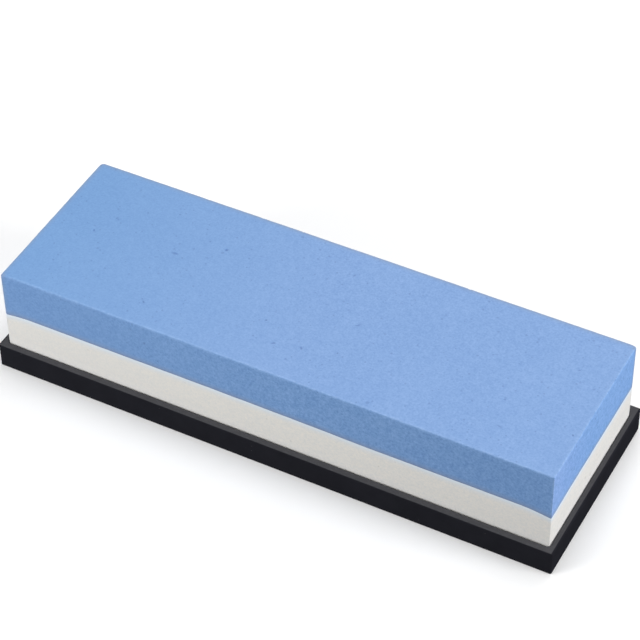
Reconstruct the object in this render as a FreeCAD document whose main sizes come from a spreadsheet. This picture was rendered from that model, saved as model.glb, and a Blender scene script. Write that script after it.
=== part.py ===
import FreeCAD, Part
import math
import os

import Sketcher
from FreeCAD import Vector

# A two-grit sharpening whetstone seated in a one-piece moulded silicone tray.
# Row frame: millimetres, +X along the stone, +Y across it, +Z up. The origin is under the
# middle of the tray, on the bench. Each piece is one body, modelled from its own underside
# at its own z = 0 and put in its place by its Placement. The rim is thicker behind the stone
# than in front of it, so the stone and its pocket lie a little forward of the tray's middle.
#
#   silicone_tray      non-slip tray: rim, seat with drain ribs, sole with rows of grip cells
#   fine_grit_slab     lower slab, the 6000-grit face, eased round its working face
#   epoxy_bond_line    thin cured film that holds the two slabs together
#   coarse_grit_slab   upper slab, the 1000-grit face, eased round its working face

OUTPUT_FOLDER = "parts"

# Driving dimensions: alias, value in millimetres unless the note says otherwise, note.
SIZES = (
    ("stone_length", 180.0, "both slabs, along X"),
    ("stone_width", 58.0, "both slabs, along Y"),
    ("slab_thickness", 15.4, "each slab, along Z"),
    ("bond_thickness", 0.2, "cured epoxy between the slabs"),
    ("stone_corner", 0.8, "radius of the upright corners of both slabs"),
    ("edge_ease", 0.4, "radius rubbed round each working face"),
    ("pocket_length", 180.4, "inside the rim, along X"),
    ("pocket_width", 58.7, "inside the rim, along Y"),
    ("rim_end", 1.9, "thickness of the rim at both ends"),
    ("rim_front", 2.1, "thickness of the rim in front of the stone"),
    ("rim_back", 3.4, "thickness of the rim behind the stone"),
    ("rim_grip", 3.0, "height of the rim above the seat"),
    ("rim_round", 0.25, "radius along both lips of the rim"),
    ("tray_corner", 0.4, "radius of the tray's upright corners"),
    ("pocket_corner", 1.2, "radius of the pocket's upright corners"),
    ("sole_round", 0.2, "radius along the tray's bottom edge"),
    ("seat_height", 5.5, "bench to the tops of the drain ribs, which carry the stone"),
    ("drain_depth", 0.7, "drain floor below the tops of the drain ribs"),
    ("drain_rib_width", 2.6, "each drain rib at its root, along X"),
    ("drain_rib_corner", 0.9, "radius of a drain rib's corners, seen from above"),
    ("drain_rib_count", 11, "number of drain ribs"),
    ("drain_margin", 4.0, "open channel between the drain ribs and the rim"),
    ("cell_depth", 1.6, "depth of the grip cells in the sole"),
    ("cell_columns", 11, "number of grip cells along X, in each of two rows"),
    ("cell_wall", 2.2, "wall between neighbouring cells, at the sole"),
    ("cell_corner", 1.4, "radius of a cell's corners"),
    ("sole_land", 4.7, "solid border round the cells"),
    ("mould_draft", 4.0, "degrees, on the drain ribs and in the grip cells"),
)

# Sizes that follow from the driving dimensions, as expressions on the sheet.
TRAY_LENGTH = "(Sizes.pocket_length + 2 * Sizes.rim_end)"
TRAY_WIDTH = "(Sizes.rim_front + Sizes.pocket_width + Sizes.rim_back)"
TRAY_HEIGHT = "(Sizes.seat_height + Sizes.rim_grip)"
STONE_Y = "((Sizes.rim_front - Sizes.rim_back) / 2)"
RIB_FIELD_X = "(Sizes.pocket_length - 2 * Sizes.drain_margin)"
RIB_FIELD_Y = "(Sizes.pocket_width - 2 * Sizes.drain_margin)"
CELL_FIELD_X = f"({TRAY_LENGTH} - 2 * Sizes.sole_land)"
CELL_FIELD_Y = f"({TRAY_WIDTH} - 2 * Sizes.sole_land)"
CELL_X = f"(({CELL_FIELD_X} + Sizes.cell_wall) / Sizes.cell_columns - Sizes.cell_wall)"
CELL_Y = f"(({CELL_FIELD_Y} - Sizes.cell_wall) / 2)"
INWARD_DRAFT = "-Sizes.mould_draft * 1deg"

# Where a repeated feature is first sketched, before its bound dimensions place it.
ROUGH_FIRST_X = -80.0
ROUGH_ROW_Y = 15.0

doc = FreeCAD.newDocument("Whetstone")
sheet = doc.addObject("Spreadsheet::Sheet", "Sizes")
for row, (alias, number, note) in enumerate(SIZES, start=1):
    sheet.set(f"A{row}", note)
    sheet.set(f"B{row}", str(number))
    sheet.setAlias(f"B{row}", alias)
doc.recompute()


def new_body(label, shift="0", lift="0"):
    """An empty body, moved along Y and lifted by the given expressions."""
    body = doc.addObject("PartDesign::Body", label)
    body.Label = label
    body.setExpression("Placement.Base.y", shift)
    body.setExpression("Placement.Base.z", lift)
    return body


def new_sketch(body, name, height="0", shift="0"):
    """A sketch parallel to the body's own XY plane, at the height and moved along Y by the
    shift, which are expressions."""
    sketch = body.newObject("Sketcher::SketchObject", name)
    plane = next(f for f in body.Origin.OriginFeatures if f.Role == "XY_Plane")
    sketch.AttachmentSupport = [(plane, "")]
    sketch.MapMode = "FlatFace"
    sketch.setExpression("AttachmentOffset.Base.y", shift)
    sketch.setExpression("AttachmentOffset.Base.z", height)
    return sketch


def bind(sketch, name, rule, expression):
    """Adds a named dimension to the sketch, driven by an expression on the sheet."""
    sketch.renameConstraint(sketch.addConstraint(rule), name)
    sketch.setExpression(f"Constraints.{name}", expression)


def draw_rounded_rectangle(sketch, name, length, width, radius, rough_centre=(0.0, 0.0)):
    """Draws a small rounded rectangle, which its bound dimensions then size.

    Returns the indices of its lines (bottom, right, top, left) and of its arcs. The caller
    fixes its place."""
    half_x, half_y, rough_radius = 4.0, 3.0, 1.0
    centre = Vector(*rough_centre, 0)
    first = sketch.GeometryCount
    corners = ((1, -1), (1, 1), (-1, 1), (-1, -1))
    hubs = [centre + Vector(side_x * half_x, side_y * half_y, 0) for side_x, side_y in corners]
    for quarter, hub in enumerate(hubs):
        angle = (quarter - 1) * math.pi / 2
        outward = Vector(math.cos(angle), math.sin(angle), 0) * rough_radius
        sketch.addGeometry(Part.LineSegment(hubs[quarter - 1] + outward, hub + outward))
        circle = Part.Circle(hub, Vector(0, 0, 1), rough_radius)
        sketch.addGeometry(Part.ArcOfCircle(circle, angle, angle + math.pi / 2))
    curves = list(range(first, sketch.GeometryCount))
    lines, arcs = curves[0::2], curves[1::2]
    bottom, right, top, left = lines
    following = curves[1:] + curves[:1]
    rules = [Sketcher.Constraint("Tangent", a, 2, b, 1) for a, b in zip(curves, following)]
    rules += [Sketcher.Constraint("Horizontal", line) for line in (bottom, top)]
    rules += [Sketcher.Constraint("Vertical", line) for line in (right, left)]
    rules += [Sketcher.Constraint("Equal", arcs[0], arc) for arc in arcs[1:]]
    sketch.addConstraint(rules)
    full_x = 2 * (half_x + rough_radius)
    full_y = 2 * (half_y + rough_radius)
    across = Sketcher.Constraint("DistanceX", left, 1, right, 1, full_x)
    along = Sketcher.Constraint("DistanceY", bottom, 1, top, 1, full_y)
    bind(sketch, f"{name}_length", across, length)
    bind(sketch, f"{name}_width", along, width)
    bind(sketch, f"{name}_radius", Sketcher.Constraint("Radius", arcs[0], rough_radius), radius)
    return lines, arcs


def centred_outline(body, name, height, length, width, radius, shift="0"):
    """A sketch of one rounded rectangle, centred on the body's own Z axis or shifted along Y."""
    sketch = new_sketch(body, name, height, shift)
    _, arcs = draw_rounded_rectangle(sketch, "outline", length, width, radius)
    sketch.addConstraint(Sketcher.Constraint("Symmetric", arcs[0], 3, arcs[2], 3, -1, 1))
    return sketch


def place_line(sketch, name, kind, line, expression):
    """Binds how far a line lies from the sketch's origin, on the side where it was drawn."""
    start = sketch.getPoint(line, 1)
    offset = start.x if kind == "DistanceX" else start.y
    ends = (line, 1, -1, 1) if offset < 0 else (-1, 1, line, 1)
    bind(sketch, name, Sketcher.Constraint(kind, *ends, abs(offset)), expression)


def extrude(body, kind, name, sketch, length, reverse=False, draft=None):
    """A Pad or a Pocket whose length is bound to the sheet. Stops if it works the wrong way."""
    doc.recompute()
    before = body.Shape.Volume if body.Tip else 0.0
    feature = body.newObject(f"PartDesign::{kind}", name)
    feature.Profile = sketch
    feature.Reversed = reverse
    feature.setExpression("Length", length)
    if draft:
        feature.setExpression("TaperAngle", draft)
    doc.recompute()
    change = body.Shape.Volume - before
    grew = change > 0
    if change == 0 or grew != (kind == "Pad"):
        raise RuntimeError(f"{body.Label}.{name} changed the volume by {change:.3f} mm3")
    return feature


def repeat_along_x(body, name, feature, sketch, span, count):
    """Repeats a feature along X so that its first and last copies are a span apart."""
    pattern = body.newObject("PartDesign::LinearPattern", name)
    pattern.Originals = [feature]
    pattern.Direction = (sketch, ["H_Axis"])
    pattern.setExpression("Length", span)
    pattern.setExpression("Occurrences", count)
    body.Tip = pattern
    doc.recompute()
    return pattern


def round_edges(body, name, radius, height, wanted=lambda edge: True):
    """Fillets those wanted edges of the body that lie flat at a height above its underside."""
    close = 1e-4
    doc.recompute()
    tip = body.Tip
    edges = [
        f"Edge{number}"
        for number, edge in enumerate(tip.Shape.Edges, start=1)
        if abs(edge.BoundBox.ZMin - height) < close
        and abs(edge.BoundBox.ZMax - height) < close
        and wanted(edge)
    ]
    fillet = body.newObject("PartDesign::Fillet", name)
    fillet.Base = (tip, edges)
    fillet.setExpression("Radius", radius)
    doc.recompute()
    return fillet


def grit_slab(label, lift, working_face_height):
    """One abrasive slab: a rounded block, eased round the face that sharpens."""
    body = new_body(label, STONE_Y, lift)
    outline = centred_outline(
        body, "SlabOutline", "0", "Sizes.stone_length", "Sizes.stone_width", "Sizes.stone_corner"
    )
    extrude(body, "Pad", "SlabBlock", outline, "Sizes.slab_thickness")
    round_edges(body, "EasedEdge", "Sizes.edge_ease", working_face_height)
    return body


def fine_grit_slab():
    """The lower slab, whose working face lies on the drain ribs."""
    return grit_slab("fine_grit_slab", "Sizes.seat_height", working_face_height=0.0)


def coarse_grit_slab():
    """The upper slab, whose working face is the top of the stone."""
    lift = "Sizes.seat_height + Sizes.slab_thickness + Sizes.bond_thickness"
    return grit_slab("coarse_grit_slab", lift, working_face_height=sheet.get("slab_thickness"))


def epoxy_bond_line():
    """The epoxy film, ground flush with both slabs."""
    body = new_body("epoxy_bond_line", STONE_Y, "Sizes.seat_height + Sizes.slab_thickness")
    outline = centred_outline(
        body, "FilmOutline", "0", "Sizes.stone_length", "Sizes.stone_width", "Sizes.stone_corner"
    )
    extrude(body, "Pad", "Film", outline, "Sizes.bond_thickness")
    return body


def silicone_tray():
    """The moulded tray: rim and seat above, drain ribs on the seat, grip cells in the sole."""
    body = new_body("silicone_tray")
    outline = centred_outline(
        body, "TrayOutline", "0", TRAY_LENGTH, TRAY_WIDTH, "Sizes.tray_corner"
    )
    extrude(body, "Pad", "TrayBlock", outline, TRAY_HEIGHT)
    cut_seat(body)
    add_drain_ribs(body)
    cut_grip_cells(body)
    rim_top = sheet.get("seat_height") + sheet.get("rim_grip")
    round_edges(body, "RimLips", "Sizes.rim_round", rim_top)
    round_edges(body, "SoleEdge", "Sizes.sole_round", 0.0, wanted=is_under_rim)
    return body


def is_under_rim(edge):
    """Tells the tray's outer bottom edge from the mouths of the grip cells."""
    middle = edge.BoundBox.Center
    half_length = sheet.get("pocket_length") / 2
    half_width = sheet.get("pocket_width") / 2
    return abs(middle.x) > half_length or abs(middle.y) > half_width


def cut_seat(body):
    """The recess that holds the stone, as deep as the drain floor."""
    seat = centred_outline(
        body,
        "SeatOutline",
        TRAY_HEIGHT,
        "Sizes.pocket_length",
        "Sizes.pocket_width",
        "Sizes.pocket_corner",
        STONE_Y,
    )
    extrude(body, "Pocket", "Seat", seat, "Sizes.rim_grip + Sizes.drain_depth")


def add_drain_ribs(body):
    """Low cross ribs on the seat: the stone stands on them and water drains between them."""
    drain_floor = "Sizes.seat_height - Sizes.drain_depth"
    sketch = new_sketch(body, "DrainRibOutline", drain_floor, STONE_Y)
    (bottom, _, _, left), _ = draw_rounded_rectangle(
        sketch,
        "rib",
        "Sizes.drain_rib_width",
        RIB_FIELD_Y,
        "Sizes.drain_rib_corner",
        rough_centre=(ROUGH_FIRST_X, 0.0),
    )
    place_line(sketch, "rib_reach", "DistanceX", left, f"{RIB_FIELD_X} / 2")
    place_line(sketch, "rib_side", "DistanceY", bottom, f"{RIB_FIELD_Y} / 2")
    rib = extrude(body, "Pad", "DrainRib", sketch, "Sizes.drain_depth", draft=INWARD_DRAFT)
    span = f"{RIB_FIELD_X} - Sizes.drain_rib_width"
    repeat_along_x(body, "DrainRibs", rib, sketch, span, "Sizes.drain_rib_count")


def cut_grip_cells(body):
    """Two rows of shallow cells in the sole, whose walls grip the bench."""
    sketch = new_sketch(body, "GripCellOutline")
    for side, name in ((-1, "front"), (1, "back")):
        (bottom, _, top, left), _ = draw_rounded_rectangle(
            sketch,
            name,
            CELL_X,
            CELL_Y,
            "Sizes.cell_corner",
            rough_centre=(ROUGH_FIRST_X, side * ROUGH_ROW_Y),
        )
        place_line(sketch, f"{name}_reach", "DistanceX", left, f"{CELL_FIELD_X} / 2")
        beside_spine = top if side < 0 else bottom
        place_line(sketch, f"{name}_spine", "DistanceY", beside_spine, "Sizes.cell_wall / 2")
    cells = extrude(
        body, "Pocket", "GripCells", sketch, "Sizes.cell_depth", reverse=True, draft=INWARD_DRAFT
    )
    span = f"{CELL_FIELD_X} - {CELL_X}"
    repeat_along_x(body, "GripCellRows", cells, sketch, span, "Sizes.cell_columns")


def write_parts(bodies):
    """Checks the whole document and every body, then writes one STEP file for each body."""
    doc.recompute()
    failed = [o.Name for o in doc.Objects if {"Invalid", "Error"} & set(o.State)]
    if failed:
        raise RuntimeError(f"objects that failed to build: {failed}")
    for body in bodies:
        if body.Shape.isNull() or not body.Shape.isValid() or len(body.Shape.Solids) != 1:
            raise RuntimeError(f"{body.Label} isn't one valid solid")
    os.makedirs(OUTPUT_FOLDER, exist_ok=True)
    for body in bodies:
        body.Shape.exportStep(os.path.join(OUTPUT_FOLDER, f"{body.Label}.step"))
        print(f"{body.Label}: {body.Shape.Volume / 1000:.2f} cm3")


write_parts([silicone_tray(), fine_grit_slab(), epoxy_bond_line(), coarse_grit_slab()])
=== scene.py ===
import math
import random

import bmesh
import bpy
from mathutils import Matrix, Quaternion, Vector, kdtree, noise


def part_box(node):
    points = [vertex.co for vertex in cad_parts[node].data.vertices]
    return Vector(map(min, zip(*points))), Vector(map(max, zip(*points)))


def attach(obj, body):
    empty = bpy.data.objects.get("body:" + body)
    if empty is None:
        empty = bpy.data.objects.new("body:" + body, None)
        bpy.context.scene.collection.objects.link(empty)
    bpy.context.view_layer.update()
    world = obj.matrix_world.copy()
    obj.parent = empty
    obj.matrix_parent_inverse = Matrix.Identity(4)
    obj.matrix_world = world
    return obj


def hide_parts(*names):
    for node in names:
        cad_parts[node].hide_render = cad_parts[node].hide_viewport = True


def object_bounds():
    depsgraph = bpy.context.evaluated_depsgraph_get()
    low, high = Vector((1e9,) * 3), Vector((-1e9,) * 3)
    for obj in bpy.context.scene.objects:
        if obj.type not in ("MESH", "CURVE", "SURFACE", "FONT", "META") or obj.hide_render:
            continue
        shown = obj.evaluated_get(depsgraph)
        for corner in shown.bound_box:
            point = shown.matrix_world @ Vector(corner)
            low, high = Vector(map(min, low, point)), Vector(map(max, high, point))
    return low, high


# The looks of a two-grit sharpening whetstone in its silicone tray: the camera, the studio,
# the two abrasive slabs with their pores and rubbed edges, the bond line between them, and
# the materials. Metres, in the record's frame: +X along the stone, +Y away from the viewer,
# +Z up.

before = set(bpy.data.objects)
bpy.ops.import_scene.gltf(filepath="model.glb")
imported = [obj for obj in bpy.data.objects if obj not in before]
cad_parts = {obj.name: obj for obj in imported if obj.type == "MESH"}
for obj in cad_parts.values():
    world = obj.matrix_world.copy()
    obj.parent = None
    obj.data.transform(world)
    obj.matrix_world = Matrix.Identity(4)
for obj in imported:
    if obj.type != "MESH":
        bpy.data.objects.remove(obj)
CAD_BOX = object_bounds()
MM = 0.001

# The stone's rest place and the tray's highest corner, read from the frame.
COARSE_LOW, COARSE_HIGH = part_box("coarse_grit_slab")
FINE_LOW, FINE_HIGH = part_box("fine_grit_slab")
HALF_LENGTH = (COARSE_HIGH.x - COARSE_LOW.x) / 2
HALF_WIDTH = (COARSE_HIGH.y - COARSE_LOW.y) / 2
STONE_Y = (COARSE_HIGH.y + COARSE_LOW.y) / 2
BOND_MIDDLE = (COARSE_LOW.z + FINE_HIGH.z) / 2
BOND_THICKNESS = COARSE_LOW.z - FINE_HIGH.z
TRAY_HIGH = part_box("silicone_tray")[1]

# How the slabs are finished.
CORNERS = {                    # radius of each upright corner, by (is right, is behind)
    (False, False): 0.8 * MM,
    (True, False): 0.35 * MM,
    (True, True): 0.4 * MM,
    (False, True): 1.5 * MM,
}
WORKING_EASE = 0.4 * MM        # about the radius rubbed round each working face
EASE_SHARE = 0.92              # the average, as a part of that
EASE_CHANGE = 0.22             # how much a slow and a quick change each add or take away
SLOW_EASE, QUICK_EASE = 14 * MM, 2.2 * MM  # how long these two changes are
QUICK_SEED = 5                 # added to a slab's seed for the quick one
LEFT_RUB = 0.9 * MM            # how much more the left end is rubbed, at its front
LEFT_RUB_LENGTH = 3 * MM       # over this length from the end
TIP_RUB = 0.6 * MM             # how much more the back right tip is rubbed
TIP_RUB_REACH = 1.6 * MM       # as far as this from the tip
SEAM_EASE = 0.16 * MM          # radius rubbed along the seam

# The path of the seam between the slabs.
FILM_INSET = 0.1 * MM          # how far the bond line lies below the sides of the slabs
SEAM_RISE = 0.12 * MM          # how far it lies above the CAD's bond line on the whole
SEAM_WAVE = 0.13 * MM          # how far the seam wanders up and down
WAVE_SCALE = 17 * MM           # the wander is a sine of x over this
WAVE_REACH = 60 * MM           # the wander dies down over this, from the middle
RIPPLE = 0.4                   # the small ripples against the wander
RIPPLE_SIZE = 9 * MM
RIPPLE_SEED = 4.2
SEAM_DROOP = 1.0 * MM          # how far the seam drops at both ends
DROOP_LENGTH = 9 * MM          # over this length at each end
DROOP_POWER = 1.5              # above 1, which keeps most of the drop near the end
SEAM_TILT = 0.25 * MM          # how much lower the right end's seam is at the back
TILT_SHARE = 0.1               # in this last share of the half length
SEAM_DIP = 0.33 * MM           # how far it dips along the right half of the front
DIP_START = 15 * MM            # from this far right of the middle, and in front of it
DIP_LENGTH, DIP_WIDTH = 20 * MM, 14 * MM  # until it has all of its depth

# The meshes. The first row of their grids is at a side, and the next ones are close to it, at
# the insets of EDGE_ROWS. The others are evenly spaced.
GRID_STEP = 1.0 * MM
FILM_STEP = 2 * GRID_STEP      # the bond line needs a less fine grid
EDGE_ROWS = [inset * MM for inset in (0, 0.04, 0.1, 0.17, 0.27, 0.4, 0.55, 0.8, 1.15)]
FINE_CUTS = 4                  # cuts in each long edge that is near a pore or a chip
LONG_EDGE = 0.3 * GRID_STEP    # a long edge is longer than this
FINE_MARGIN = 0.6 * GRID_STEP  # a near one lies within this of it
DENT_POWER = 1.3               # above 1, which gives a hollow a soft rim

# The small pores that are strewn over a slab, and the chips along its arrises.
PORE_SIZES = (0.25, 0.75)      # width, in millimetres
PORE_STRETCH = (1, 1.8)        # length against width
PORE_DEPTH = 0.2               # depth against width
PORE_TONES = (0.1, 0.5)        # how dark it is
PORE_MARGIN = 2.5 * MM         # how far it keeps from the arrises
PORE_SHARES = (60, 14, 14, 6, 6)  # face, front, back, left, right
CHIP_COUNT = 30
CHIP_SIZES = (0.4, 0.9)        # in millimetres
CHIP_STRETCH = 1.4             # width against size
CHIP_DEPTHS = (0.06, 0.14)     # depth against size
CHIP_MARGIN = 2 * MM           # how far it keeps from the corners
OWN_PORE_DEPTH = 0.3           # depth against width of a pore listed on the top

# The marks in the meshes, which the materials colour.
WEAR_AND_HIGHLIGHT_WIDTH = 0.8 * MM          # the pale band beside an arris at the front and the right: rubbed wear and a painted highlight
EDGE_SHADE_WIDTH = 1.4 * MM          # the band of painted shade beside an arris at the back and the left
SEAM_TINT_WIDTH = 2.0 * MM     # how far each slab's dust has tinted the other


# ---------------------------------------------------------------- shapes


def smooth_step(value):
    """0 below 0, 1 above 1, and a smooth turn between them."""
    value = min(max(value, 0.0), 1.0)
    return value * value * (3 - 2 * value)


def uneven(x, y, size, seed):
    """Smooth noise from about -1 to 1 over the stone, whose features are about this size."""
    return noise.noise(Vector((x / size, y / size, seed)))


def seam_height(x, y):
    """Height of the middle of the bond line: it wanders a little and droops at both ends."""
    front = smooth_step((-y - DIP_START) / DIP_WIDTH)
    dip = SEAM_DIP * front * smooth_step((x - DIP_START) / DIP_LENGTH)
    wander = -math.sin(x / WAVE_SCALE) * math.exp(-abs(x) / WAVE_REACH)
    wander += RIPPLE * uneven(x, y, RIPPLE_SIZE, RIPPLE_SEED)
    end = max(0.0, (abs(x) - HALF_LENGTH + DROOP_LENGTH) / DROOP_LENGTH) ** DROOP_POWER
    tilt_start = (1 - TILT_SHARE) * HALF_LENGTH
    tilt = SEAM_TILT * smooth_step((x - tilt_start) / (TILT_SHARE * HALF_LENGTH))
    drop = SEAM_DROOP * end + tilt * (0.5 + y / (2 * HALF_WIDTH)) + dip
    return BOND_MIDDLE + SEAM_RISE + SEAM_WAVE * wander - drop


def rounding(inset, radius):
    """How far a rounded edge drops below its face, at an inset from the side."""
    if inset >= radius:
        return 0.0
    return radius - math.sqrt(radius * radius - (radius - inset) ** 2)


def rubbed_radius(x, y, seed):
    """The radius of the rubbed edge, which varies along the edge as handwork does."""
    slow = uneven(x, y, SLOW_EASE, seed)
    quick = uneven(x, y, QUICK_EASE, seed + QUICK_SEED)
    left_end = smooth_step((LEFT_RUB_LENGTH - HALF_LENGTH - x) / LEFT_RUB_LENGTH)
    more = LEFT_RUB * left_end * (0.5 - y / (2 * HALF_WIDTH))
    from_tip = math.hypot(HALF_LENGTH - x, HALF_WIDTH - y)
    more += TIP_RUB * (1 - smooth_step(from_tip / TIP_RUB_REACH))
    return WORKING_EASE * (EASE_SHARE + EASE_CHANGE * slow + EASE_CHANGE * quick) + more


def graded(half, step):
    """Grid lines from -half to half: even in the middle and close together at the ends."""
    inner = half - EDGE_ROWS[-1]
    count = max(2, round(2 * inner / step))
    middle = [inner * (2 * k / count - 1) for k in range(count + 1)]
    border = [half - inset for inset in EDGE_ROWS[:-1]]
    return [-x for x in border] + middle + border[::-1]


def on_rounded_plan(x, y, half_x, half_y):
    """Moves a grid point into the rounded rectangle. Returns x, y and its inset."""
    corner = CORNERS[x > 0, y > 0]
    over_x = abs(x) - (half_x - corner)
    over_y = abs(y) - (half_y - corner)
    if over_x <= 0 or over_y <= 0:
        return x, y, min(half_x - abs(x), half_y - abs(y))
    reach = max(over_x, over_y)
    shrink = reach / math.hypot(over_x, over_y)
    new_x = math.copysign(half_x - corner + over_x * shrink, x)
    new_y = math.copysign(half_y - corner + over_y * shrink, y)
    return new_x, new_y, max(0.0, corner - reach)


def rounded_block(half_x, half_y, step, upper, lower):
    """A closed block on a rounded plan, between two heights given as functions of x, y and
    the inset from the side. It is centred on the stone's own axis."""
    lines_x, lines_y = graded(half_x, step), graded(half_y, step)
    last_x, last_y = len(lines_x) - 1, len(lines_y) - 1
    bm = bmesh.new()
    plan = {}
    for i, x in enumerate(lines_x):
        for j, y in enumerate(lines_y):
            plan[i, j] = on_rounded_plan(x, y, half_x, half_y)
    sheets = []
    for height in (upper, lower):
        place = {}
        for cell, (x, y, inset) in plan.items():
            place[cell] = bm.verts.new((x, STONE_Y + y, height(x, y, inset)))
        for i in range(last_x):
            for j in range(last_y):
                bm.faces.new((place[i, j], place[i + 1, j], place[i + 1, j + 1], place[i, j + 1]))
        sheets.append(place)
    rim = [(i, 0) for i in range(last_x)] + [(last_x, j) for j in range(last_y)]
    rim += [(i, last_y) for i in range(last_x, 0, -1)] + [(0, j) for j in range(last_y, 0, -1)]
    add_wall(bm, [sheets[0][cell] for cell in rim], [sheets[1][cell] for cell in rim], step)
    bmesh.ops.recalc_face_normals(bm, faces=bm.faces)
    return bm


def add_wall(bm, top, bottom, step):
    """Joins two rings of vertices with rows of faces about one step high."""
    rows = max(1, round((top[0].co - bottom[0].co).length / step))
    rings = [top]
    for row in range(1, rows):
        ring = [bm.verts.new(a.co.lerp(b.co, row / rows)) for a, b in zip(top, bottom)]
        rings.append(ring)
    rings.append(bottom)
    for above, below in zip(rings, rings[1:]):
        for k in range(len(above)):
            n = (k + 1) % len(above)
            bm.faces.new((above[k], below[k], below[n], above[n]))


class Dent:
    """A pore or a chip: an oval hollow pressed into the surface."""

    def __init__(self, centre, inward, length, width, depth, angle=0.0, tone=1.0):
        self.centre = Vector((centre[0], centre[1] + STONE_Y, centre[2]))
        self.inward = Vector(inward).normalized()
        across = Vector((0, 0, 1)) if abs(self.inward.z) < 0.5 else Vector((0, 1, 0))
        first = across.cross(self.inward).normalized()
        second = self.inward.cross(first)
        self.long = math.cos(angle) * first + math.sin(angle) * second
        self.short = self.inward.cross(self.long)
        self.half_long, self.half_short = length / 2, width / 2
        self.depth = depth
        self.tone = tone
        self.reach = max(length, width) / 2

    def weight(self, point):
        """1 at the middle of the hollow, and 0 at its rim and outside."""
        offset = point - self.centre
        a = offset.dot(self.long) / self.half_long
        b = offset.dot(self.short) / self.half_short
        c = offset.dot(self.inward) / self.reach
        return max(0.0, 1 - a * a - b * b - c * c)


def press_dents(bm, dents, mark):
    """Refines the mesh round the dents, presses them in and marks them in a float layer."""
    tree = kdtree.KDTree(len(dents))
    for number, dent in enumerate(dents):
        tree.insert(dent.centre, number)
    tree.balance()
    largest = max(dent.reach for dent in dents) + GRID_STEP
    near = set()
    for edge in bm.edges:
        middle = (edge.verts[0].co + edge.verts[1].co) / 2
        for _, number, distance in tree.find_range(middle, largest):
            if distance < dents[number].reach + FINE_MARGIN:
                near.add(edge)
    long_edges = [edge for edge in near if edge.calc_length() > LONG_EDGE]
    bmesh.ops.subdivide_edges(bm, edges=long_edges, cuts=FINE_CUTS, use_grid_fill=True)
    layer = bm.verts.layers.float[mark]
    for vert in bm.verts:
        start = vert.co.copy()
        for _, number, _ in tree.find_range(start, largest):
            dent = dents[number]
            weight = dent.weight(start)
            vert.co += dent.inward * (dent.depth * weight ** DENT_POWER)
            vert[layer] = max(vert[layer], dent.tone * math.sqrt(weight))


def mark_edges(bm, face_height):
    """Marks how near each vertex is to the seam, and to an arris of the working face or an
    upright corner: wear with a painted highlight on the front and the right, painted shade on the
    back and the left."""
    layers = bm.verts.layers.float
    wear_and_highlight, edge_shade, seam = layers["wear_and_highlight"], layers["edge_shade"], layers["seam"]
    for vert in bm.verts:
        x, y, z = vert.co
        y -= STONE_Y
        gaps = (HALF_LENGTH - abs(x), HALF_WIDTH - abs(y), abs(z - face_height))
        gap = max(sorted(gaps)[1], 0.0)  # an edge is where two of the three are 0
        # The arrises at the back and the left get painted shade; the others get wear and a
        # painted highlight.
        behind = HALF_WIDTH - y < EDGE_SHADE_WIDTH or HALF_LENGTH + x < EDGE_SHADE_WIDTH
        layer, width = (edge_shade, EDGE_SHADE_WIDTH) if behind else (wear_and_highlight, WEAR_AND_HIGHLIGHT_WIDTH)
        vert[layer] = max(vert[layer], 1 - gap / width)
        vert[seam] = max(0.0, 1 - abs(z - seam_height(x, y)) / SEAM_TINT_WIDTH)


def random_pores(rng, low, high, up, count):
    """Small pores strewn over the working face and the four sides of a slab."""
    pores = []
    face_z = high if up > 0 else low
    for _ in range(count):
        size = rng.uniform(*PORE_SIZES) * MM
        x = rng.uniform(-1, 1) * (HALF_LENGTH - PORE_MARGIN)
        y = rng.uniform(-1, 1) * (HALF_WIDTH - PORE_MARGIN)
        z = rng.uniform(low + PORE_MARGIN, high - PORE_MARGIN)
        place, inward = rng.choices(
            (
                ((x, y, face_z), (0, 0, -up)),
                ((x, -HALF_WIDTH, z), (0, 1, 0)),
                ((x, HALF_WIDTH, z), (0, -1, 0)),
                ((-HALF_LENGTH, y, z), (1, 0, 0)),
                ((HALF_LENGTH, y, z), (-1, 0, 0)),
            ),
            weights=PORE_SHARES,
        )[0]
        turn, tone = rng.uniform(0, math.pi), rng.uniform(*PORE_TONES)
        length = size * rng.uniform(*PORE_STRETCH)
        pores.append(Dent(place, inward, length, size, PORE_DEPTH * size, turn, tone))
    return pores


def random_chips(rng, face_z, up):
    """Tiny chips along the arrises of a working face."""
    chips = []
    for _ in range(CHIP_COUNT):
        along_x = rng.random() < HALF_LENGTH / (HALF_LENGTH + HALF_WIDTH)
        side = rng.choice((-1, 1))
        along = rng.uniform(-1, 1)
        size = rng.uniform(*CHIP_SIZES) * MM
        if along_x:
            place = (along * (HALF_LENGTH - CHIP_MARGIN), side * HALF_WIDTH, face_z)
            inward = (0, -side, -up)
        else:
            place = (side * HALF_LENGTH, along * (HALF_WIDTH - CHIP_MARGIN), face_z)
            inward = (-side, 0, -up)
        width = size * CHIP_STRETCH
        chips.append(Dent(place, inward, width, width, rng.uniform(*CHIP_DEPTHS) * size))
    return chips


def to_object(bm, name, material):
    """Turns a bmesh into a smooth-shaded object with one material."""
    for face in bm.faces:
        face.smooth = True
    mesh = bpy.data.meshes.new(name)
    bm.to_mesh(mesh)
    bm.free()
    mesh.materials.append(material)
    piece = bpy.data.objects.new(name, mesh)
    bpy.context.scene.collection.objects.link(piece)
    return piece


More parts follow.
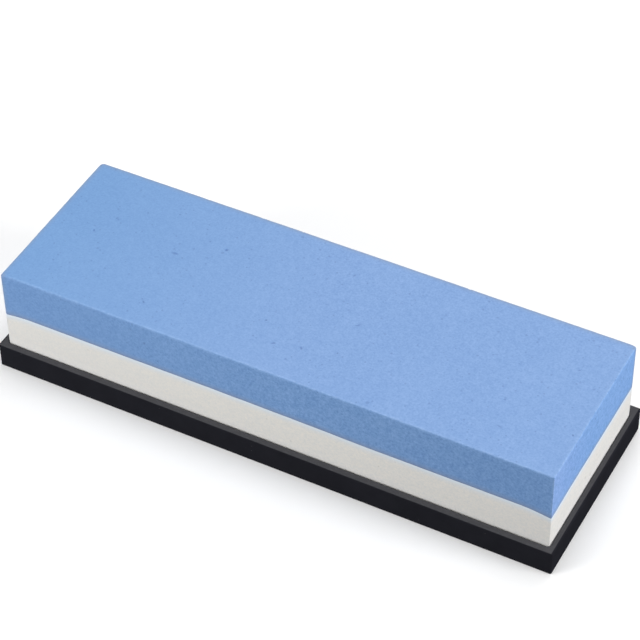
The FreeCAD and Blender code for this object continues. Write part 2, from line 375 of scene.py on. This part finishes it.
def abrasive_slab(name, low, high, up, seed, own_pores, pore_count, material):
    """A slab whose working face is above it (up = 1) or below it (up = -1)."""
    face_z = high if up > 0 else low
    rng = random.Random(seed)

    def working_face(x, y, inset):
        return face_z - up * rounding(inset, rubbed_radius(x, y, seed))

    def bonded_face(x, y, inset):
        return seam_height(x, y) + up * (BOND_THICKNESS / 2 + rounding(inset, SEAM_EASE))

    faces = (working_face, bonded_face) if up > 0 else (bonded_face, working_face)
    bm = rounded_block(HALF_LENGTH, HALF_WIDTH, GRID_STEP, *faces)
    for mark in ("wear_and_highlight", "edge_shade", "seam", "pore"):
        bm.verts.layers.float.new(mark)
    pores = own_pores + random_pores(rng, low, high, up, pore_count)
    press_dents(bm, pores, "pore")
    press_dents(bm, random_chips(rng, face_z, up), "wear_and_highlight")
    mark_edges(bm, face_z)
    return to_object(bm, name, material)


def bond_film(name, material):
    """The bond line: a thin film that follows the seam, a little below the slabs' sides."""

    def upper(x, y, inset):
        return seam_height(x, y) + BOND_THICKNESS / 2

    def lower(x, y, inset):
        return seam_height(x, y) - BOND_THICKNESS / 2

    half_x, half_y = HALF_LENGTH - FILM_INSET, HALF_WIDTH - FILM_INSET
    bm = rounded_block(half_x, half_y, FILM_STEP, upper, lower)
    return to_object(bm, name, material)


# ---------------------------------------------------------------- materials

# Where the values of a noise lie: nearly all, most, and the middle ones.
WIDE, USUAL, NARROW = (0.2, 0.8), (0.25, 0.75), (0.35, 0.65)
FACING = (0.5, 0.9)            # a normal's part along an axis where facing starts and is full
EVEN_MIDDLE = 0.2              # the middle part of a side or an end, where its colour is even

# The texture of the abrasive: its size, and how much it lightens or darkens the colour.
CLOUD_SIZE, CLOUD_CHANGE = 22 * MM, 0.022
MOTTLE_SIZE, MOTTLE_CHANGE = 2.1 * MM, 0.045
GRAIN_SIZE, GRAIN_CHANGE = 0.7 * MM, 0.14
SIDE_GRAIN = 1.8               # the grain of the sides against that of the working face
GRAIN_GAINS = (1.3, 0.92, 0.55)  # the grain changes the red most: its grains are grey
LEFT_CONTRAST, RIGHT_CONTRAST = 0.78, 1.2  # the texture is weaker at the left end
CONTRAST_RUN = (-0.7 * HALF_LENGTH, 0.1 * HALF_LENGTH)  # and grows between these
ROUGHNESS = (0.7, 0.85)        # between and on the grains
SMALL_SPECKS = (1.3 * MM, 0.38 * MM)  # spacing and largest radius
LARGE_SPECKS = (4.5 * MM, 0.6 * MM)
SPECK_STRENGTH = 0.27
WEAR_AND_HIGHLIGHT_PATCHES = 1.1 * MM        # the arrises at the front and the right, rubbed and with a painted highlight, are paler in patches of this size
WEAR_AND_HIGHLIGHT_STRENGTHS = (0.03, 0.22)  # between the patches and in them
# The strengths of the painted shade on the arrises at the back and the left, of the seam's tint
# and of the pores.
EDGE_SHADE_STRENGTH, TINT_STRENGTH, PORE_STRENGTH = 0.6, 0.8, 0.42
FOOT_LIGHT_HEIGHT = 3.5 * MM          # how far above the rim the sides are painted lighter towards the tray, as painted light against the rim's shade
FOOT_LIGHT_STRENGTH = 0.8
MOTTLE_RELIEF, SPECK_RELIEF = 0.6, -1.2  # how high these stand, against the grain

# Stained epoxy, where it is darker and where it is paler.
EPOXY = ((0.13, 0.2, 0.34), (0.2, 0.28, 0.42))

# The painted sheen on the tray's rim: what faces up is painted lighter.
SHEENLESS_LIP = (0.55 * MM, 0.35 * MM)  # the painted sheen thins out between these, from each end of the tray, so the lips at the ends stay dark
UPWARD = (0.45, 0.95)          # a normal's upward part where the painted sheen starts and is full
SHEEN_PATCHES = 1.6 * MM
SHEEN_STRENGTHS = (0.75, 1.0)   # between the patches and in them
LINT = (2.1 * MM, 0.16 * MM)   # spacing and largest radius
LINT_SHARE, LINT_STRENGTH = 0.25, 0.35
# The rubber's own colour, the lighter colour of the painted sheen, and the lint's colour.
RUBBER, TOP_SHEEN, FIBRE = (0.0193, 0.0197, 0.025), (0.08, 0.08, 0.087), (0.2, 0.2, 0.2)


class Shading:
    """A material with one Principled shader, and short calls that add nodes to it."""

    def __init__(self, name, **constants):
        self.material = bpy.data.materials.new(name)
        self.material.use_nodes = True
        self.tree = self.material.node_tree
        self.shader = self.tree.nodes["Principled BSDF"]
        for socket, value in constants.items():
            self.shader.inputs[socket.replace("_", " ")].default_value = value
        coordinates = self.add("ShaderNodeTexCoord")
        self.place = coordinates.outputs["Object"]
        self.normal = coordinates.outputs["Normal"]

    def add(self, kind, sockets=None, **settings):
        """Adds a node. Each of its sockets gets a link or a constant."""
        node = self.tree.nodes.new(kind)
        for key, value in settings.items():
            setattr(node, key, value)
        for key, value in (sockets or {}).items():
            if isinstance(value, bpy.types.NodeSocket):
                self.tree.links.new(value, node.inputs[key])
            else:
                node.inputs[key].default_value = value
        return node

    def feed(self, socket, value):
        self.tree.links.new(value, self.shader.inputs[socket])

    def noise(self, size, detail=3.0, roughness=0.55):
        """Noise whose features are about this size, from 0 to 1."""
        sockets = {"Vector": self.place, "Scale": 1 / size, "Detail": detail}
        sockets["Roughness"] = roughness
        return self.add("ShaderNodeTexNoise", sockets).outputs["Fac"]

    def ramp(self, value, start, end, low=0.0, high=1.0):
        """Maps start..end to low..high, and clamps."""
        sockets = {"Value": value, "From Min": start, "From Max": end}
        sockets.update({"To Min": low, "To Max": high})
        return self.add("ShaderNodeMapRange", sockets).outputs["Result"]

    def math(self, operation, first, second):
        sockets = {0: first, 1: second}
        return self.add("ShaderNodeMath", sockets, operation=operation).outputs["Value"]

    def product(self, first, second):
        return self.math("MULTIPLY", first, second)

    def absolute(self, value):
        """A number without its sign."""
        return self.math("ABSOLUTE", value, 0.0)

    def total(self, values):
        result = values[0]
        for value in values[1:]:
            result = self.math("ADD", result, value)
        return result

    def attribute(self, name):
        return self.add("ShaderNodeAttribute", attribute_name=name).outputs["Fac"]

    def parts_of(self, vector):
        """The outputs X, Y and Z of a vector."""
        return self.add("ShaderNodeSeparateXYZ", {"Vector": vector}).outputs

    def mix(self, factor, first, second):
        """A colour mix. Each colour is a socket or three numbers."""
        sockets = {0: factor}
        for index, value in ((6, first), (7, second)):
            sockets[index] = value if isinstance(value, bpy.types.NodeSocket) else (*value, 1)
        return self.add("ShaderNodeMix", sockets, data_type="RGBA").outputs[2]

    def vector_math(self, operation, *values):
        sockets = dict(enumerate(values))
        return self.add("ShaderNodeVectorMath", sockets, operation=operation).outputs["Vector"]

    def shade(self, colour, change, gains=(1, 1, 1)):
        """A colour, made lighter or darker by a relative change that differs by channel."""
        spread = self.add("ShaderNodeCombineXYZ", {"X": change, "Y": change, "Z": change})
        factor = self.vector_math("MULTIPLY_ADD", spread.outputs["Vector"], gains, (1, 1, 1))
        return self.vector_math("MULTIPLY", colour, factor)

    def specks(self, spacing, radius, share):
        """Sparse round specks, 1 inside and 0 outside: this share of the cells holds one."""
        cell = self.add("ShaderNodeTexVoronoi", {"Vector": self.place, "Scale": 1 / spacing})
        chance = self.add("ShaderNodeSeparateColor", {"Color": cell.outputs["Color"]})
        chosen = self.math("LESS_THAN", chance.outputs["Red"], share)
        edge = self.product(chance.outputs["Green"], radius / spacing)
        inside = self.math("LESS_THAN", cell.outputs["Distance"], edge)
        return self.product(chosen, inside)

    def bump(self, height, distance, strength):
        sockets = {"Height": height, "Distance": distance, "Strength": strength}
        self.feed("Normal", self.add("ShaderNodeBump", sockets).outputs["Normal"])


def facing(s, axis):
    """1 where the surface faces along an axis, either way, and 0 where it doesn't."""
    return s.ramp(s.absolute(s.parts_of(s.normal)[axis]), *FACING)


def colour_with_painted_light(s, side, end, face, pale):
    """The colour of a slab before its texture: its own colour, with painted light. The long
    sides, the ends and the working face have colours of their own, which stand in for how the
    light falls on each, and the working face's colour holds a painted sheen. A side's colour
    changes from its middle to both ends, an end's from the front to its middle, and the face's
    from the left end to its middle, where the painted sheen grows. Sides and ends are painted
    lighter just above the tray, against the shade of its rim."""
    place = s.parts_of(s.place)
    along, across, height = place["X"], place["Y"], place["Z"]
    face_colour = s.mix(s.ramp(along, -HALF_LENGTH, 0.0), *face)
    off_middle = s.ramp(s.absolute(along), EVEN_MIDDLE * HALF_LENGTH, HALF_LENGTH)
    side_colour = s.mix(off_middle, *side)
    end_colour = s.mix(s.ramp(across, -HALF_WIDTH, -EVEN_MIDDLE * HALF_WIDTH), *end)
    # Painted light: the sides and ends are lighter just above the tray's rim, against the shade
    # that the rim casts.
    foot_light = s.ramp(height, TRAY_HIGH.z, TRAY_HIGH.z + FOOT_LIGHT_HEIGHT, FOOT_LIGHT_STRENGTH, 0.0)
    upright = s.mix(foot_light, s.mix(facing(s, "X"), side_colour, end_colour), pale)
    return s.mix(facing(s, "Z"), upright, face_colour)


def abrasive_material(name, side, end, face, pale, dark, shaded_edge, tinted, contrast, speck_share):
    """A bonded abrasive: matte, finely mottled, with dark specks and pores, arrises at the front
    and the right paler with wear and a painted highlight, painted shade on the arrises at the
    back and the left, and dust of the other slab at the seam."""
    s = Shading(name, Specular_IOR_Level=0.1)
    colour = colour_with_painted_light(s, side, end, face, pale)
    clouds = s.noise(CLOUD_SIZE, detail=2.0)
    mottle = s.noise(MOTTLE_SIZE, detail=3.0)
    grain = s.noise(GRAIN_SIZE, detail=2.0, roughness=0.7)
    on_sides = s.ramp(facing(s, "Z"), 0, 1, SIDE_GRAIN, 1.0)
    change = s.total([
        s.ramp(clouds, *USUAL, -CLOUD_CHANGE, CLOUD_CHANGE),
        s.ramp(mottle, *WIDE, -MOTTLE_CHANGE, MOTTLE_CHANGE),
        s.product(s.ramp(grain, *WIDE, -GRAIN_CHANGE, GRAIN_CHANGE), on_sides),
    ])
    contrasts = (LEFT_CONTRAST * contrast, RIGHT_CONTRAST * contrast)
    strength = s.ramp(s.parts_of(s.place)["X"], *CONTRAST_RUN, *contrasts)
    body = s.shade(colour, s.product(change, strength), GRAIN_GAINS)
    small = s.specks(*SMALL_SPECKS, speck_share)
    large = s.specks(*LARGE_SPECKS, speck_share / 2)
    body = s.mix(s.product(s.math("MAXIMUM", small, large), SPECK_STRENGTH), body, dark)
    # Rubbed wear and a painted highlight make the arrises at the front and the right paler, in
    # patches.
    patchy = s.ramp(s.noise(WEAR_AND_HIGHLIGHT_PATCHES, detail=2.0), *NARROW)
    worn_and_lit = s.product(s.attribute("wear_and_highlight"), s.ramp(patchy, 0, 1, *WEAR_AND_HIGHLIGHT_STRENGTHS))
    body = s.mix(worn_and_lit, body, pale)
    # Painted shade on the arrises at the back and the left.
    body = s.mix(s.product(s.attribute("edge_shade"), EDGE_SHADE_STRENGTH), body, shaded_edge)
    body = s.mix(s.product(s.attribute("seam"), TINT_STRENGTH), body, tinted)
    body = s.mix(s.product(s.attribute("pore"), PORE_STRENGTH), body, dark)
    s.feed("Base Color", body)
    s.feed("Roughness", s.ramp(grain, *WIDE, *ROUGHNESS))
    relief = s.total([
        grain,
        s.product(mottle, MOTTLE_RELIEF),
        s.product(small, SPECK_RELIEF),
    ])
    s.bump(relief, distance=0.035 * MM, strength=0.5)
    return s.material


def film_material(name):
    """Cured epoxy stained by both slabs: darker than either, faintly glossy."""
    s = Shading(name, Roughness=0.45, Specular_IOR_Level=0.4)
    stain = s.ramp(s.noise(3.5 * MM, detail=3.0), *NARROW)
    s.feed("Base Color", s.mix(stain, *EPOXY))
    s.bump(s.noise(0.8 * MM, detail=2.0), distance=0.03 * MM, strength=0.4)
    return s.material


def silicone_material(name):
    """Matte moulded silicone: near black, with a painted sheen on what faces up, and lint."""
    s = Shading(name, Specular_IOR_Level=0.0)
    texture = s.noise(0.35 * MM, detail=3.0, roughness=0.6)
    cloud = s.noise(7 * MM, detail=3.0)
    rubber = s.shade(RUBBER, s.ramp(cloud, *USUAL, low=-0.12, high=0.12))
    # Painted sheen: what faces up is lighter, in patches, but not on the lips at both ends of the
    # tray.
    normal = s.add("ShaderNodeNewGeometry").outputs["Normal"]
    upward = s.ramp(s.parts_of(normal)["Z"], *UPWARD)
    ends = [TRAY_HIGH.x - inset for inset in SHEENLESS_LIP]
    off_lips = s.ramp(s.absolute(s.parts_of(s.place)["X"]), *ends, low=1.0, high=0.0)
    patches = s.ramp(s.noise(SHEEN_PATCHES, detail=4.0), *WIDE, *SHEEN_STRENGTHS)
    sheened = s.mix(s.product(s.product(upward, off_lips), patches), rubber, TOP_SHEEN)
    lint = s.product(s.specks(*LINT, LINT_SHARE), LINT_STRENGTH)
    s.feed("Base Color", s.mix(lint, sheened, FIBRE))
    s.feed("Roughness", s.ramp(cloud, *USUAL, low=0.58, high=0.72))
    s.bump(s.total([texture, s.product(cloud, 0.5)]), distance=0.03 * MM, strength=0.5)
    return s.material


# ---------------------------------------------------------------- studio

VIEW_ANGLES = (28.48, 43.52, -0.87)  # azimuth, elevation and roll, in degrees
VIEW_DISTANCE = 736.2 * MM
AIM_OFFSET = (-5.11, 13.22, 0)  # from the object's middle to what the camera aims at, in mm
LENS = 137.3                   # focal length, in millimetres
FLOOR_HALF = 3.0               # half the side of the floor, in metres
FLOOR_GAP = 0.02 * MM          # how far the floor is below the tray
FLOOR_FADE = (0.25, 0.7)       # the floor fades out between these, from the origin, in metres
FLOOR_LIT = (0.25, 0.25, 0.25)  # its colour for the light that it throws on the stone
WHITE = (1.0, 1.0, 1.0)


def add_camera():
    """The view: from the front, a little to the right, and well above."""
    azimuth, elevation, roll = (math.radians(angle) for angle in VIEW_ANGLES)
    middle = (Vector(CAD_BOX[0]) + Vector(CAD_BOX[1])) / 2
    aim = middle + Vector(AIM_OFFSET) * MM
    back = Vector((
        math.sin(azimuth) * math.cos(elevation),
        -math.cos(azimuth) * math.cos(elevation),
        math.sin(elevation),
    ))
    data = bpy.data.cameras.new("camera")
    data.lens = LENS
    camera = bpy.data.objects.new("camera", data)
    camera.location = aim + VIEW_DISTANCE * back
    camera.rotation_mode = "QUATERNION"
    camera.rotation_quaternion = Quaternion(back, roll) @ back.to_track_quat("Z", "Y")
    bpy.context.scene.collection.objects.link(camera)
    bpy.context.scene.camera = camera


def add_softbox(name, location, size, power):
    """A square area light, aimed at the origin."""
    data = bpy.data.lights.new(name, "AREA")
    data.size = size
    data.energy = power
    lamp = bpy.data.objects.new(name, data)
    lamp.location = location
    lamp.rotation_euler = Vector(location).to_track_quat("Z", "Y").to_euler()
    bpy.context.scene.collection.objects.link(lamp)


def seen_directly(tree):
    """1 for camera, glossy and transmission rays, 0 for the light that falls on things."""
    path = tree.nodes.new("ShaderNodeLightPath")
    result = path.outputs["Is Camera Ray"]
    for kind in ("Is Glossy Ray", "Is Transmission Ray"):
        either = tree.nodes.new("ShaderNodeMath")
        either.operation = "MAXIMUM"
        tree.links.new(result, either.inputs[0])
        tree.links.new(path.outputs[kind], either.inputs[1])
        result = either.outputs["Value"]
    return result


def set_world(fill):
    """Even fill light from a world that looks white."""
    world = bpy.data.worlds.new("studio")
    world.use_nodes = True
    tree = world.node_tree
    backdrop = tree.nodes["Background"]
    backdrop.inputs["Color"].default_value = (*WHITE, 1)
    strength = tree.nodes.new("ShaderNodeMapRange")
    strength.inputs["To Min"].default_value = fill
    strength.inputs["To Max"].default_value = 1.0
    tree.links.new(seen_directly(tree), strength.inputs["Value"])
    tree.links.new(strength.outputs["Result"], backdrop.inputs["Strength"])
    bpy.context.scene.world = world


def add_floor():
    """A plain pale floor, just under the tray. Far from the stone it fades into the backdrop."""
    height = CAD_BOX[0][2] - FLOOR_GAP
    signs = [(-1, -1), (1, -1), (1, 1), (-1, 1)]
    corners = [(x * FLOOR_HALF, y * FLOOR_HALF, height) for x, y in signs]
    mesh = bpy.data.meshes.new("floor")
    mesh.from_pydata(corners, [], [(0, 1, 2, 3)])
    floor = bpy.data.objects.new("floor", mesh)
    bpy.context.scene.collection.objects.link(floor)
    s = Shading("floor_paper", Roughness=0.9, Specular_IOR_Level=0.1)
    seen = seen_directly(s.tree)
    s.feed("Base Color", s.mix(seen, FLOOR_LIT, WHITE))
    away = s.add("ShaderNodeVectorMath", {0: s.place}, operation="LENGTH").outputs["Value"]
    s.shader.inputs["Emission Color"].default_value = (*WHITE, 1)
    s.feed("Emission Strength", s.product(seen, s.ramp(away, *FLOOR_FADE)))
    mesh.materials.append(s.material)


# ---------------------------------------------------------------- the scene

add_camera()
set_world(fill=0.25)
add_softbox("overhead", (0.0, 0.0, 1.1), size=0.8, power=4.5)
add_softbox("behind", (0.0, 0.9, 0.7), size=0.8, power=4.0)
add_softbox("right", (0.9, 0.0, 0.45), size=0.6, power=6.4)
add_softbox("front_left", (-0.42, -0.5, 0.22), size=0.3, power=2.67)
add_floor()

# Each slab's colours per face hold painted light as well as the stone's own colour: the faces
# differ where the light falls differently, and the blue working face holds a painted sheen.
blue = abrasive_material(
    "blue_abrasive",
    side=((0.207, 0.374, 0.692), (0.194, 0.354, 0.662)),
    end=((0.262, 0.43, 0.81), (0.228, 0.415, 0.79)),
    face=((0.182, 0.337, 0.612), (0.222, 0.36, 0.64)),
    pale=(0.5, 0.66, 0.92),
    dark=(0.07, 0.14, 0.36),
    shaded_edge=(0.28, 0.31, 0.37),
    tinted=(0.27, 0.348, 0.54),
    contrast=1.0,
    speck_share=0.3,
)
white = abrasive_material(
    "white_abrasive",
    side=((0.862, 0.85, 0.81), (0.835, 0.823, 0.79)),
    end=((0.845, 0.835, 0.81), (0.845, 0.835, 0.81)),
    face=((0.845, 0.835, 0.8), (0.845, 0.835, 0.8)),
    pale=(0.93, 0.92, 0.9),
    dark=(0.5, 0.47, 0.42),
    shaded_edge=(0.7, 0.7, 0.7),
    tinted=(0.71, 0.835, 0.965),
    contrast=0.22,
    speck_share=0.1,
)

# The fourteen pores that stand out, listed one by one: thirteen on the top and one on the front.
# Each line is x, y, length, width (in millimetres) and turn (in radians).
TOP_PORES = [
    Dent(
        (x * MM, y * MM, COARSE_HIGH.z),
        (0, 0, -1),
        length * MM,
        width * MM,
        OWN_PORE_DEPTH * width * MM,
        turn,
    )
    for x, y, length, width, turn in (
        (-35.2, 11.1, 1.3, 1.0, 0.5),
        (-48.3, 2.8, 2.6, 0.9, 0.0),
        (-75.4, 0.6, 1.2, 0.8, 1.2),
        (-45.6, -19.9, 1.3, 0.6, 0.7),
        (-3.4, -17.7, 1.7, 0.7, -0.5),
        (-9.9, -10.3, 0.9, 0.7, 0.0),
        (14.9, 0.1, 2.0, 0.6, -0.8),
        (14.9, -12.9, 0.9, 0.7, 0.0),
        (4.6, -15.8, 1.5, 0.8, 1.0),
        (2.7, -21.7, 1.0, 0.6, 0.3),
        (65.4, -7.9, 0.8, 0.6, 0.0),
        (87.9, -11.9, 0.9, 0.9, 0.0),
        (68.4, -18.1, 1.9, 0.5, 0.2),
    )
]
FRONT_PORE = Dent((-40.4 * MM, -HALF_WIDTH, 29.6 * MM), (0, 1, 0), 0.9 * MM, 0.8 * MM, 0.3 * MM)

coarse = abrasive_slab(
    "coarse_slab",
    COARSE_LOW.z,
    COARSE_HIGH.z,
    up=1,
    seed=11,
    own_pores=TOP_PORES + [FRONT_PORE],
    pore_count=90,
    material=blue,
)
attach(coarse, "stone")
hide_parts("coarse_grit_slab")

fine = abrasive_slab(
    "fine_slab",
    FINE_LOW.z,
    FINE_HIGH.z,
    up=-1,
    seed=23,
    own_pores=[],
    pore_count=50,
    material=white,
)
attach(fine, "stone")
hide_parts("fine_grit_slab")

film = bond_film("bond_film", film_material("bond_epoxy"))
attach(film, "stone")
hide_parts("epoxy_bond_line")

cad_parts["silicone_tray"].material_slots[0].material = silicone_material("black_silicone")

bpy.context.scene.view_settings.view_transform = "Standard"
